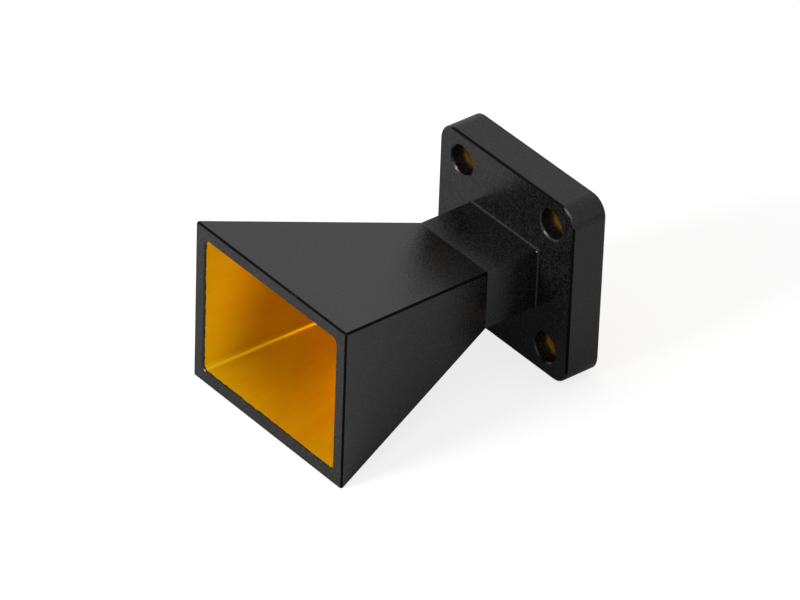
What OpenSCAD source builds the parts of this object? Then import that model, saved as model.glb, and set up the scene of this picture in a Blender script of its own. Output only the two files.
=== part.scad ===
// Pyramidal horn antenna for the 7.11 x 3.56 mm rectangular waveguide.
// A square cover flange, a short rectangular neck and a four-sided flare,
// all cut from one block of aluminium, so it is one node.
//
// Frame, in millimetres: the origin is the middle of the waveguide port on
// the mating face. X runs along the broad wall of the guide, Z along the
// narrow wall, and Y along the boresight. The mating face looks along +Y
// and the mouth opens towards -Y.

/* [Waveguide] */
// Broad inside width of the rectangular guide, along X
guide_width = 7.112; // [6:0.002:8]
// Narrow inside height of the rectangular guide, along Z
guide_height = 3.556; // [3:0.002:4.2]
// Inside corner radius of the straight guide
guide_corner = 0.4; // [0.1:0.05:0.5]
// Wall between the inside and the outside, the same from the flange to the mouth
wall = 1.35; // [1:0.05:1.5]

/* [Flare] */
// Distance from the mating face to the throat, where the flare begins
throat_distance = 9.7; // [8.5:0.1:14]
// Distance from the mating face to the mouth
horn_length = 30.6; // [25:0.1:45]
// Outside width of the mouth, along X
mouth_width = 21.7; // [16:0.1:30]
// Outside height of the mouth, along Z
mouth_height = 16.9; // [13:0.1:24]
// Radius left by the cutter in the four slanted inside corners
flare_corner = 0.6; // [0.5:0.05:0.9]

/* [Flange] */
// Side of the square flange
flange_side = 19.05; // [18.5:0.05:24]
// Thickness of the flange
flange_thickness = 3.8; // [2.5:0.1:6]
// Outside corner radius of the flange
flange_corner = 1.9; // [1:0.1:2.2]

/* [Screw holes] */
// Diameter of the four clearance holes
hole_diameter = 2.95; // [2.4:0.05:3.1]
// Distance between hole centres along X
hole_spacing_x = 12.70; // [12.4:0.01:13.5]
// Distance between hole centres along Z
hole_spacing_z = 13.46; // [12.9:0.01:13.8]
// Depth of the countersink that breaks each hole's rim on both faces
hole_break = 0.15; // [0.1:0.05:0.4]

/* [Edges] */
// Chamfer on every outside edge
edge_break = 0.15; // [0.05:0.01:0.25]
// Chamfer around the inside edge of the mouth
mouth_break = 0.1; // [0.05:0.01:0.2]
// Fillet where the neck meets the flange
root_fillet = 0.2; // [0.1:0.05:0.5]

/* [Hidden] */
// How far a cut runs past the face it opens
past = 1;
// How far the straight guide and the flare run into each other at the throat
lap = 1;
// How far the corner cutter bites past each inside wall, to leave no ridge
corner_bite = 0.01;
// How far the chamfers along the corners bend before the faces beside them do,
// so that no four faces meet at one point
bend_lead = 0.06;
// Number of sides on each round feature
round_sides = 48;
// Number of sides on the small inside and edge radii
small_sides = 32;

// Stations along the boresight
mating_y = 0;
front_y = -flange_thickness;
throat_y = -throat_distance;
mouth_y = -horn_length;
flare_run = throat_y - mouth_y;

// Half sizes of the guide, the neck around it, and the mouth inside and out
guide_x = guide_width / 2;
guide_z = guide_height / 2;
neck_x = guide_x + wall;
neck_z = guide_z + wall;
mouth_x = mouth_width / 2;
mouth_z = mouth_height / 2;
mouth_in_x = mouth_x - wall;
mouth_in_z = mouth_z - wall;

// How fast the inside walls open along the boresight
open_x = (mouth_in_x - guide_x) / flare_run;
open_z = (mouth_in_z - guide_z) / flare_run;
angle_x = atan(open_x);
angle_z = atan(open_z);

// A slanted inside corner is a cylinder that just bites into both walls. Its
// axis lies in_x and in_z from the sharp corner, square to the boresight.
in_x = (flare_corner - corner_bite) / cos(angle_x);
in_z = (flare_corner - corner_bite) / cos(angle_z);
// Where the cylinder meets each wall, measured from the sharp corner
touch_x = in_x + flare_corner * sin(angle_z) * open_x;
touch_z = in_z + flare_corner * sin(angle_x) * open_z;
// Direction of the line between the two meeting lines
touch_angle = atan(touch_z / touch_x);
touch_length = sqrt(touch_x * touch_x + touch_z * touch_z);

// Half width of the inside at a station, for a guide half size and its slope
function inside_at(half, slope, y) = half + slope * (throat_y - y);

// A length taken to the nearest thousandth of a millimetre
function to_micron(length) = round(length * 1000) / 1000;

// Distance from the boresight to the plane through two meeting lines
function corner_plane(half_x, half_z) =
    (half_x * touch_z + half_z * touch_x - touch_x * touch_z) / touch_length;

// Profile with a chamfer at each end: pairs of growth and station
function broken_profile(y_low, y_high, cut) = [
    [-cut, y_low],
    [0, y_low + cut],
    [0, y_high - cut],
    [-cut, y_high]
];

// Both sides of a profile, as a closed outline around the boresight
function mirrored(half, profile) = concat(
    [for (p = profile) [half + p[0], p[1]]],
    [for (i = [len(profile) - 1 : -1 : 0]) [-half - profile[i][0], profile[i][1]]]
);

// A bar whose outline in X and Y is given, drawn along Z
module along_z(length) {
    linear_extrude(height = length, center = true) children();
}

// The same bar turned about the boresight by an angle
module turned(angle, length) {
    rotate([0, angle, 0]) along_z(length) children();
}

// Rectangular block with round corners whose size follows a profile along Y
module rounded_block(half_x, half_z, corner, profile, sides) {
    along_z(2 * (half_z - corner))
        polygon(mirrored(half_x, profile));
    turned(90, 2 * (half_x - corner))
        polygon(mirrored(half_z, profile));
    ends = [[0, profile[0][1]]];
    tops = [[0, profile[len(profile) - 1][1]]];
    for (x = [-1, 1], z = [-1, 1])
        translate([x * (half_x - corner), 0, z * (half_z - corner)])
            rotate([-90, 0, 0])
                rotate_extrude($fn = sides)
                    polygon(concat(ends, [for (p = profile) [corner + p[0], p[1]]], tops));
}

// Outline of the neck and flare around the boresight, with the fillet at the
// flange and the chamfer at the mouth. The plan and the side view have no lead
// and end in round fillets; the two views across the corners just run out wide.
module outer_outline(neck_half, mouth_half, lead) {
    slope = (mouth_half - neck_half) / flare_run;
    mouth_step = edge_break + lead;
    polygon(mirrored(neck_half, [
        [mouth_half - neck_half - edge_break, mouth_y],
        [mouth_half - neck_half - slope * mouth_step, mouth_y + mouth_step],
        [0, throat_y + lead],
        [0, front_y - root_fillet - lead],
        [lead > 0 ? 2 * root_fillet : 0, front_y],
        [lead > 0 ? 2 * root_fillet : 0, front_y + edge_break]
    ]));
    if (lead == 0)
        root_fillets(neck_half);
}

// The two fillets that a view shows beside the neck
module root_fillets(neck_half) {
    for (side = [-1, 1])
        difference() {
            translate([side * (neck_half + root_fillet / 2), front_y])
                square([root_fillet, 2 * root_fillet], center = true);
            translate([side * (neck_half + root_fillet), front_y - root_fillet])
                circle(r = root_fillet, $fn = small_sides);
        }
}

// Neck and flare as a solid block: what its plan, its side view and the two
// views across its corners have in common
module neck_and_flare() {
    across = sqrt(2);
    across_neck = (neck_x + neck_z - edge_break) / across;
    across_mouth = (mouth_x + mouth_z - edge_break) / across;
    reach = 2 * (mouth_x + mouth_z);
    intersection() {
        turned(0, reach) outer_outline(neck_x, mouth_x, 0);
        turned(90, reach) outer_outline(neck_z, mouth_z, 0);
        turned(45, reach) outer_outline(across_neck, across_mouth, bend_lead);
        turned(-45, reach) outer_outline(across_neck, across_mouth, bend_lead);
    }
}

// Square flange with round corners and chamfered edges
module flange() {
    rounded_block(flange_side / 2, flange_side / 2, flange_corner,
        broken_profile(front_y, mating_y, edge_break), round_sides);
}

// One side of the flared inside, drawn from below the mouth to past the throat
module inner_outline(half_throat, half_mouth) {
    slope = (half_mouth - half_throat) / flare_run;
    polygon(mirrored(half_throat, [
        [slope * (flare_run + past), mouth_y - past],
        [-slope * lap, throat_y + lap]
    ]));
}

// The flared inside: four flat walls, cut back at each corner to the lines
// where the corner cylinders meet them, and the four cylinders themselves
module flare_inside() {
    plane_throat = corner_plane(guide_x, guide_z);
    plane_mouth = corner_plane(mouth_in_x, mouth_in_z);
    reach = 2 * (mouth_x + mouth_z);
    intersection() {
        turned(0, reach) inner_outline(guide_x, mouth_in_x);
        turned(90, reach) inner_outline(guide_z, mouth_in_z);
        turned(90 - touch_angle, reach) inner_outline(plane_throat, plane_mouth);
        turned(touch_angle - 90, reach) inner_outline(plane_throat, plane_mouth);
    }
    for (x = [-1, 1], z = [-1, 1])
        corner_cylinder(x, z);
}

// A cylinder along one slanted inside corner
module corner_cylinder(side_x, side_z) {
    start_y = throat_y + lap;
    run = flare_run + lap + past;
    start_x = inside_at(guide_x, open_x, start_y) - in_x;
    start_z = inside_at(guide_z, open_z, start_y) - in_z;
    slant = sqrt(1 + open_x * open_x + open_z * open_z);
    translate([side_x * start_x, start_y, side_z * start_z])
        rotate([0, 0, side_x * angle_x])
            rotate([90 - side_z * atan(open_z * cos(angle_x)), 0, 0])
                cylinder(h = run * slant, r = flare_corner, $fn = small_sides);
}

// Chamfer around the inside edge of the mouth, drawn past the mouth
module mouth_chamfer() {
    foot_y = mouth_y + mouth_break;
    foot_x = to_micron(inside_at(guide_x, open_x, foot_y));
    foot_z = to_micron(inside_at(guide_z, open_z, foot_y));
    inner_end = flare_corner / 2;
    corner = flare_corner - mouth_break / 2;
    rounded_block(foot_x, foot_z, corner, [
        [mouth_break + past, mouth_y - past],
        [-inner_end, foot_y + inner_end]
    ], small_sides);
}

// The straight guide through the flange and the neck
module guide_inside() {
    rounded_block(guide_x, guide_z, guide_corner,
        [[0, throat_y - lap], [0, mating_y + past]], small_sides);
}

// Conical cutter that breaks a hole's rim, its wide end one step off the face
module rim_cone() {
    wide = hole_diameter / 2 + hole_break + past;
    tip = hole_diameter / 4;
    translate([0, 0, -past])
        cylinder(h = wide - tip, r1 = wide, r2 = tip, $fn = round_sides);
}

// Four clearance holes with a broken rim on each face
module screw_holes() {
    for (x = [-1, 1], z = [-1, 1])
        translate([x * hole_spacing_x / 2, 0, z * hole_spacing_z / 2])
            rotate([-90, 0, 0]) {
                translate([0, 0, front_y - past])
                    cylinder(h = flange_thickness + 2 * past, d = hole_diameter,
                        $fn = round_sides);
                translate([0, 0, front_y])
                    rim_cone();
                translate([0, 0, mating_y])
                    mirror([0, 0, 1])
                        rim_cone();
            }
}

// The whole antenna: flange, neck and flare in one piece
module horn() {
    color([0.09, 0.09, 0.1])
        difference() {
            union() {
                flange();
                neck_and_flare();
            }
            flare_inside();
            mouth_chamfer();
            guide_inside();
            screw_holes();
        }
}

horn();
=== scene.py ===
# %% [markdown]
# # A rectangular waveguide horn
# A horn antenna is a funnel for microwaves: a rectangular pipe that opens into a pyramid, with a square
# flange that bolts it to the next waveguide. It is machined from one block of aluminium, so it is one
# piece here too. The loaded frame is that block, in metres. Its mating face lies on the plane y = 0 and
# its mouth opens towards -y. The shape is right as it comes, so the work left is its skin: black paint
# outside, a golden chromate film inside, and the table and the light that make both readable.

# %% Load the frame
import math
import bpy
import numpy as np
from mathutils import Matrix, Vector

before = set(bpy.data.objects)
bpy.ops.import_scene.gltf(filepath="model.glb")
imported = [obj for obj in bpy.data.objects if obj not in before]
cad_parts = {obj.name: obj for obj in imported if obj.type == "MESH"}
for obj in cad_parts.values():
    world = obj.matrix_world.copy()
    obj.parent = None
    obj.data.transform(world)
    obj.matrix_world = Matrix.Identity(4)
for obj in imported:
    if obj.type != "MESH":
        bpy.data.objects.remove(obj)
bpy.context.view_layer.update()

mm = 0.001
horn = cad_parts["horn"]

# %% [markdown]
# ## The sizes that the skin follows
# The paint stops where the inside of the horn begins, so the material has to know where that is. The
# inside is a straight rectangular guide that opens into a pyramid at the throat. Its half width at a
# station y is the guide's half width plus the slope times the way from the throat, and never less than
# the guide's. The same sum gives its half height.

# %% Stations and half sizes of the horn
throat_y = -9.7 * mm
mouth_y = -30.6 * mm
flange_y = -3.8 * mm
wall = 1.35 * mm
guide_x, guide_z = 3.556 * mm, 1.778 * mm
mouth_x, mouth_z = 9.5 * mm, 7.1 * mm
flange_half = 9.525 * mm
hole_at_x, hole_at_z = 6.35 * mm, 6.73 * mm
slope_x = (mouth_x - guide_x) / (throat_y - mouth_y)
slope_z = (mouth_z - guide_z) / (throat_y - mouth_y)
print("the inside opens by", round(slope_x, 4), "across and", round(slope_z, 4), "in height")

# %% [markdown]
# ## Building a surface from an array
# A shape that is worked out with numpy is a grid of points: row by row, as many columns in each. Four
# neighbours make one square. The helper below numbers those squares all at once.

# %% Grid helpers
def grid_faces(rows, columns):
    """Corner numbers of a grid's squares: a point, the next in its row, and the two below them."""
    first = (np.arange(rows - 1)[:, None] * columns + np.arange(columns - 1)[None, :]).ravel()
    return np.stack([first, first + 1, first + columns + 1, first + columns], axis=1)


def surface(name, points, faces):
    """Puts points (n, 3) and faces (m, 4) into a new object that sits at the origin."""
    mesh = bpy.data.meshes.new(name)
    mesh.from_pydata(points.tolist(), [], faces.tolist())
    mesh.update()
    piece = bpy.data.objects.new(name, mesh)
    bpy.context.scene.collection.objects.link(piece)
    return piece

# %% [markdown]
# ## The table it lies on
# A horn left on a table tips onto its nose. It then touches the table along the lower edge of its flange
# and the lower lip of its mouth. Under the horn the table is the plane through those two edges, so it
# leans a little against the horn's axis, and nothing hangs in the air. Past the horn the sheet levels
# out, so that it never rises in front of a low camera.

# %% The table's plane
heel = (-3.65 * mm, -9.525 * mm)      # y and z of the flange's lower edge
toe = (-30.45 * mm, -8.45 * mm)       # y and z of the mouth's lower lip
lean = (toe[1] - heel[1]) / (heel[0] - toe[0])
leaning_from, leaning_to = -34 * mm, 8 * mm


def table_height(y):
    """Height of the table at y: the heel's height, plus the lean times the way towards the mouth.
    The way stops just past the mouth on one side and just past the mating face on the other."""
    return heel[1] + (heel[0] - np.clip(y, leaning_from, leaning_to)) * lean


near = np.linspace(-60, 60, 61) * mm
far = np.array([0.1, 0.3, 1.0, 3.0])     # metres
steps = np.concatenate([-far[::-1], near, far])
across, along = np.meshgrid(steps, steps)
table_points = np.stack([across, along, table_height(along)], axis=-1).reshape(-1, 3)
table = surface("table", table_points, grid_faces(len(steps), len(steps)))
print("the table leans", round(math.degrees(math.atan(lean)), 2), "degrees to the horn's axis")

# %% [markdown]
# ## Small helpers for node materials
# A procedural material is a chain of small sums. Writing each sum as one call keeps the chain readable:
# a value goes in, the next value comes out.

# %% Node helpers
class Recipe:
    """A new material and its node tree, with one short method for each kind of sum."""

    def __init__(self, name):
        self.material = bpy.data.materials.new(name)
        self.material.use_nodes = True
        self.tree = self.material.node_tree
        self.tree.nodes.clear()

    def node(self, kind, **settings):
        """A new node of a kind, with its settings."""
        made = self.tree.nodes.new(kind)
        for key, value in settings.items():
            setattr(made, key, value)
        return made

    def put(self, value, socket):
        """Sets a socket to a plain value, or links it to another node's output."""
        if isinstance(value, bpy.types.NodeSocket):
            self.tree.links.new(value, socket)
        else:
            socket.default_value = value

    def sum(self, operation, *values, clamp=False):
        """One Math node. Its inputs are numbers or outputs, and its output is returned."""
        made = self.node("ShaderNodeMath", operation=operation, use_clamp=clamp)
        for value, socket in zip(values, made.inputs):
            self.put(value, socket)
        return made.outputs[0]

    def ramp(self, value, low, high, to_low=0.0, to_high=1.0):
        """A smooth step: to_low below low, to_high above high, and an S-curve between."""
        made = self.node("ShaderNodeMapRange", interpolation_type="SMOOTHSTEP")
        for item, socket in zip((value, low, high, to_low, to_high), made.inputs):
            self.put(item, socket)
        return made.outputs[0]

    def blend(self, share, first, second):
        """A mix of two colours: share 0 is the first, 1 is the second."""
        made = self.node("ShaderNodeMix", data_type="RGBA")
        self.put(share, made.inputs[0])
        self.put(first, made.inputs[6])
        self.put(second, made.inputs[7])
        return made.outputs[2]

    def noise(self, where, per_mm, detail=2.0, roughness=0.5):
        """Noise between 0 and 1 with a number of lumps per millimetre."""
        made = self.node("ShaderNodeTexNoise")
        self.put(where, made.inputs["Vector"])
        made.inputs["Scale"].default_value = per_mm / mm
        made.inputs["Detail"].default_value = detail
        made.inputs["Roughness"].default_value = roughness
        return made.outputs["Fac"]

    def join(self, x, y, z):
        """Three numbers as one place."""
        made = self.node("ShaderNodeCombineXYZ")
        for value, socket in zip((x, y, z), made.inputs):
            self.put(value, socket)
        return made.outputs[0]

    def bump(self, height, distance, after=None):
        """A bump of a height between 0 and 1, whose full step is distance."""
        made = self.node("ShaderNodeBump")
        made.inputs["Strength"].default_value = 1.0
        made.inputs["Distance"].default_value = distance
        self.put(height, made.inputs["Height"])
        if after is not None:
            self.put(after, made.inputs["Normal"])
        return made.outputs["Normal"]

    def mix(self, share, first, second):
        """Two surfaces in one: share 0 is the first, 1 is the second."""
        made = self.node("ShaderNodeMixShader")
        for value, socket in zip((share, first, second), made.inputs):
            self.put(value, socket)
        return made.outputs[0]

    def diffuse(self, grey):
        """A matt surface of one grey."""
        made = self.node("ShaderNodeBsdfDiffuse")
        made.inputs["Color"].default_value = (grey, grey, grey, 1)
        return made.outputs[0]

    def surface_is(self, shader):
        """Makes a surface the material's result."""
        self.put(shader, self.node("ShaderNodeOutputMaterial").inputs["Surface"])


# %% [markdown]
# ## White paper for the table
# The table is white, and the camera sees it almost as bright as the tent, with a soft shadow under the
# horn. Seen in the horn's satin paint it is a little darker, as paper that faces away from the lamp is.

# %% The table's material
paper = Recipe("table_white")
rays = paper.node("ShaderNodeLightPath")
glow = paper.node("ShaderNodeEmission")
glow.inputs["Strength"].default_value = 0.78
bright = paper.node("ShaderNodeAddShader")
paper.put(paper.diffuse(0.30), bright.inputs[0])
paper.put(glow.outputs[0], bright.inputs[1])
seen = rays.outputs["Is Camera Ray"]
paper.surface_is(paper.mix(seen, paper.diffuse(0.46), bright.outputs[0]))
table.data.materials.append(paper.material)

# %% [markdown]
# ## Where paint ends and metal begins
# The golden film is taken to cover the whole horn, with black paint over it everywhere but inside, on the
# mating face and deep in the screw holes. So the mask is a question of place: is this point on the
# inside of the funnel, on the mating face, or deep in a hole? Object coordinates give the answer.

# %% The mask
skin = Recipe("satin_paint_and_chromate")
place = skin.node("ShaderNodeTexCoord").outputs["Object"]
axes = skin.node("ShaderNodeSeparateXYZ")
skin.put(place, axes.inputs[0])
x, y, z = axes.outputs
side_x = skin.sum("ABSOLUTE", x)
side_z = skin.sum("ABSOLUTE", z)
from_throat = skin.sum("MAXIMUM", skin.sum("SUBTRACT", throat_y, y), 0.0)
inner_x = skin.sum("MULTIPLY_ADD", from_throat, slope_x, guide_x)
inner_z = skin.sum("MULTIPLY_ADD", from_throat, slope_z, guide_z)
ragged = skin.noise(place, 1.6, detail=3.0)

# How far a point lies outside the inner walls: next to nothing means that it is on the inside.
out_x = skin.sum("SUBTRACT", side_x, inner_x)
out_z = skin.sum("SUBTRACT", side_z, inner_z)
outward = skin.sum("MAXIMUM", out_x, out_z)
inside = skin.ramp(outward, 0.03 * mm, 0.05 * mm, 1.0, 0.0)

# The paint turns over the lip of the mouth and ends a little way inside.
lip_end = skin.sum("MULTIPLY_ADD", ragged, 0.22 * mm, mouth_y + 0.06 * mm)
past_lip = skin.sum("SUBTRACT", y, lip_end)
behind_lip = skin.ramp(past_lip, 0.0, 0.05 * mm)
gold_inside = skin.sum("MULTIPLY", inside, behind_lip)

# The mating face shows the film, up to its broken edge.
face_line = skin.ramp(y, -0.06 * mm, -0.02 * mm)

# A screw hole is painted for a millimetre or two from the front, and golden beyond it.
hole_x = skin.sum("SUBTRACT", side_x, hole_at_x)
hole_z = skin.sum("SUBTRACT", side_z, hole_at_z)
hole_square = skin.sum("MULTIPLY_ADD", hole_x, hole_x, skin.sum("MULTIPLY", hole_z, hole_z))
hole_r = skin.sum("SQRT", hole_square)
in_hole = skin.ramp(hole_r, 1.50 * mm, 1.56 * mm, 1.0, 0.0)
hole_line = skin.sum("MULTIPLY_ADD", ragged, 0.8 * mm, flange_y + 0.8 * mm)
deep = skin.ramp(skin.sum("SUBTRACT", y, hole_line), 0.0, 0.8 * mm)
gold_hole = skin.sum("MULTIPLY", in_hole, deep)
gold = skin.sum("MAXIMUM", skin.sum("MAXIMUM", gold_inside, face_line), gold_hole)

# %% [markdown]
# ## Satin black paint
# The paint has a fine grain, like very fine orange peel. Almost all the light that comes back from it is
# a soft reflection of the white tent, so its colour is nearly black, and its roughness and its bump
# make the look.

# %% Paint colour, roughness and grain
grain = skin.noise(place, 4.6, detail=2.0, roughness=0.6)
cloud = skin.noise(place, 0.22, detail=3.0)
mottle = skin.sum("MULTIPLY_ADD", grain, 0.8, skin.sum("MULTIPLY", cloud, 0.2))
paint_tone = skin.ramp(mottle, 0.42, 0.66)
paint_colour = skin.blend(paint_tone, (0.0010, 0.0010, 0.0011, 1), (0.0100, 0.0101, 0.0104, 1))
paint_rough = skin.sum("MULTIPLY_ADD", grain, 0.10, skin.sum("MULTIPLY_ADD", cloud, 0.06, 0.19))
paint_bump = skin.bump(grain, 0.020 * mm)

paint = skin.node("ShaderNodeBsdfPrincipled")
skin.put(paint_colour, paint.inputs["Base Color"])
skin.put(paint_rough, paint.inputs["Roughness"])
skin.put(paint_bump, paint.inputs["Normal"])
paint.inputs["IOR"].default_value = 1.5

# %% [markdown]
# ## Edges
# The broken edges of the mouth, the flare and the flange get a darker paint that reflects almost nothing.
# This is painted shade: dark lines that stand in for the dark surroundings those narrow faces reflect. The
# edges are found by adding two distances, one to each face that meets there: the sum is smallest on the edge
# itself.

# %% Painted dark lines along the broken edges
outer_x = skin.sum("ADD", inner_x, wall)
outer_z = skin.sum("ADD", inner_z, wall)
to_side = skin.sum("SUBTRACT", outer_x, side_x)
to_top = skin.sum("SUBTRACT", outer_z, side_z)
to_mouth = skin.sum("SUBTRACT", y, mouth_y)
flare_edge = skin.sum("ADD", to_side, to_top)
lip_edge = skin.sum("ADD", to_mouth, skin.sum("MINIMUM", to_side, to_top))
to_rim = skin.sum("SUBTRACT", flange_half, skin.sum("MAXIMUM", side_x, side_z))
front_edge = skin.sum("ADD", to_rim, skin.sum("SUBTRACT", y, flange_y))

# Where a sum has no edge to find, it is made too long to count.
too_long = 50 * mm
past_funnel = skin.sum("MULTIPLY", skin.sum("GREATER_THAN", y, throat_y), too_long)
off_flange = skin.sum("MULTIPLY", skin.sum("LESS_THAN", y, flange_y - 0.1 * mm), too_long)
funnel_edge = skin.sum("ADD", skin.sum("MINIMUM", flare_edge, lip_edge), past_funnel)
edge_gap = skin.sum("MINIMUM", funnel_edge, skin.sum("ADD", front_edge, off_flange))
painted_edge_shade = skin.ramp(edge_gap, 0.16 * mm, 0.22 * mm, 1.0, 0.0)
edge_breaks = skin.ramp(skin.noise(place, 0.9, detail=3.0), 0.20, 0.36)
edge_shade_share = skin.sum("MULTIPLY", painted_edge_shade, edge_breaks)

# Painted shade: a darker paint with almost no reflection, so the broken edges show as dark lines.
dark_edge_paint = skin.node("ShaderNodeBsdfPrincipled")
dark_edge_paint.inputs["Base Color"].default_value = (0.0015, 0.0015, 0.0018, 1)
dark_edge_paint.inputs["Roughness"].default_value = 0.5
dark_edge_paint.inputs["Specular IOR Level"].default_value = 0.04
skin.put(paint_bump, dark_edge_paint.inputs["Normal"])
painted = skin.mix(edge_shade_share, paint.outputs[0], dark_edge_paint.outputs[0])

# %% [markdown]
# ## Golden chromate
# The chromate film on aluminium is thin and clear, so the metal's own gloss shows through it, tinted
# from pale brass to deep orange. The tool that shaped the funnel ran along it, and its marks fan out
# from the throat: dividing a place by the funnel's half sizes there turns them into straight lines.

# %% Streaks that fan out from the throat
fan_x = skin.sum("DIVIDE", x, inner_x)
fan_z = skin.sum("DIVIDE", z, inner_z)
fan_y = skin.sum("MULTIPLY", y, 1.0 / mm)
streak_place = skin.join(skin.sum("MULTIPLY", fan_x, mouth_x / mm),
                         skin.sum("MULTIPLY", fan_y, 0.05),
                         skin.sum("MULTIPLY", fan_z, mouth_z / mm))


def streaks(per_mm, detail):
    """Noise that is long along the funnel and fine across it."""
    made = skin.node("ShaderNodeTexNoise")
    skin.put(streak_place, made.inputs["Vector"])
    made.inputs["Scale"].default_value = per_mm
    made.inputs["Detail"].default_value = detail
    return made.outputs["Fac"]


# The mating face is flat milled: its marks are straight and run across it.
milled = skin.noise(skin.join(skin.sum("MULTIPLY", x, 0.06), 0.0, z), 9.0, detail=2.0)
off_face = skin.sum("SUBTRACT", 1.0, face_line)
fine_streaks = skin.sum("ADD", skin.sum("MULTIPLY", streaks(5.0, 2.0), off_face),
                        skin.sum("MULTIPLY", milled, face_line))
broad_streaks = streaks(0.9, 2.0)
bloom = skin.noise(place, 0.5, detail=3.0)
shades = skin.sum("MULTIPLY_ADD", bloom, 0.35, skin.sum("MULTIPLY", fine_streaks, 0.2))
shades = skin.sum("ADD", skin.sum("MULTIPLY", broad_streaks, 0.45), shades)
gold_tone = skin.ramp(shades, 0.20, 0.80)
gold_colour = skin.blend(gold_tone, (0.98, 0.58, 0.005, 1), (1.0, 0.74, 0.014, 1))
gold_rough = skin.sum("MULTIPLY_ADD", fine_streaks, 0.16, 0.26)
gold_bump = skin.bump(fine_streaks, 0.010 * mm)
gold_bump = skin.bump(skin.noise(place, 7.0, detail=2.0), 0.004 * mm, after=gold_bump)

# Painted shade: the film's colour turns deep brown on the side walls towards the throat and in the screw
# holes, standing in for the shade that falls deep in the funnel and in the holes.
nearer_side = skin.sum("SUBTRACT", skin.sum("ABSOLUTE", fan_x), skin.sum("ABSOLUTE", fan_z))
on_side = skin.ramp(nearer_side, -0.02, 0.02)
slanted_y = skin.sum("MULTIPLY_ADD", fan_z, -2 * mm, y)
far_in = skin.ramp(slanted_y, mouth_y + 0.5 * mm, mouth_y + 7.0 * mm)
painted_wall_shade = skin.sum("MULTIPLY", skin.sum("MULTIPLY", on_side, inside), skin.sum("MULTIPLY", far_in, 0.70))
painted_depth_shade = skin.sum("MAXIMUM", painted_wall_shade, gold_hole)
gold_colour = skin.blend(painted_depth_shade, gold_colour, (0.20, 0.075, 0.001, 1))

film = skin.node("ShaderNodeBsdfPrincipled")
skin.put(gold_colour, film.inputs["Base Color"])
film.inputs["Metallic"].default_value = 1.0
skin.put(gold_rough, film.inputs["Roughness"])
skin.put(gold_bump, film.inputs["Normal"])

# %% [markdown]
# ## Both finishes on one skin
# The mask chooses between the painted surface and the film, and the result goes on the horn.

# %% Paint over film
skin.surface_is(skin.mix(gold, painted, film.outputs[0]))
for slot in horn.material_slots:
    slot.material = skin.material
print("skin:", len(skin.tree.nodes), "nodes on", len(horn.material_slots), "slot")

# %% [markdown]
# ## Light
# Small dark parts are lit by a white tent, which gives satin paint something bright to reflect. One soft
# lamp from the front left adds a direction to it.

# %% The white tent and one soft lamp
tent = bpy.data.worlds.new("white_tent")
bpy.context.scene.world = tent
tent.use_nodes = True
background = tent.node_tree.nodes["Background"]
background.inputs["Color"].default_value = (1, 1, 1, 1)
rays = tent.node_tree.nodes.new("ShaderNodeLightPath")
tent_level = tent.node_tree.nodes.new("ShaderNodeMix")
tent_level.inputs[2].default_value = 0.60      # what the horn is lit by
tent_level.inputs[3].default_value = 1.00      # what the camera sees past the table
tent.node_tree.links.new(rays.outputs["Is Camera Ray"], tent_level.inputs[0])
tent.node_tree.links.new(tent_level.outputs[0], background.inputs["Strength"])


def soft_lamp(name, place_mm, aim_mm, size_mm, watts):
    """A square lamp at a place, turned so that its face looks at the aim."""
    light = bpy.data.lights.new(name, "AREA")
    light.shape = "SQUARE"
    light.size = size_mm * mm
    light.energy = watts
    lamp = bpy.data.objects.new(name, light)
    bpy.context.scene.collection.objects.link(lamp)
    start, end = Vector(place_mm) * mm, Vector(aim_mm) * mm
    lamp.location = start
    lamp.rotation_mode = "QUATERNION"
    lamp.rotation_quaternion = (end - start).to_track_quat("-Z", "Y")
    return lamp


key_lamp = soft_lamp("key_lamp", place_mm=(-40, -430, 175), aim_mm=(0, -22, -4), size_mm=160, watts=2.7)
print("lamp:", key_lamp.name, "of", round(key_lamp.data.energy, 2), "watts")

# %% [markdown]
# ## The camera
# A long lens from the front right, above the horn, looking down. The angles are the azimuth round the
# horn, the height above its axis, and a slight roll, because the horn leans on its nose.

# %% The camera
azimuth, elevation, roll = (math.radians(a) for a in (50.405, 35.014, 2.104))
aim_mm = np.array([-0.166, -15.574, -0.339])
distance_mm = 624.26
back = np.array([math.sin(azimuth) * math.cos(elevation),
                 -math.cos(azimuth) * math.cos(elevation),
                 math.sin(elevation)])
level = np.cross(-back, [0, 0, 1])
level /= np.linalg.norm(level)
upright = np.cross(level, -back)
right = math.cos(roll) * level + math.sin(roll) * upright
up = -math.sin(roll) * level + math.cos(roll) * upright
eye = aim_mm + back * distance_mm

lens = bpy.data.cameras.new("camera")
lens.sensor_width = 36
lens.lens = 313.1
lens.clip_start, lens.clip_end = 0.01, 20
camera = bpy.data.objects.new("camera", lens)
bpy.context.scene.collection.objects.link(camera)
turn = np.stack([right, up, back, eye * mm], axis=1).tolist()
camera.matrix_world = Matrix(turn + [[0, 0, 0, 1]])
bpy.context.scene.camera = camera
bpy.context.scene.view_settings.view_transform = "Standard"
print("camera at", [round(float(v), 1) for v in eye], "mm")
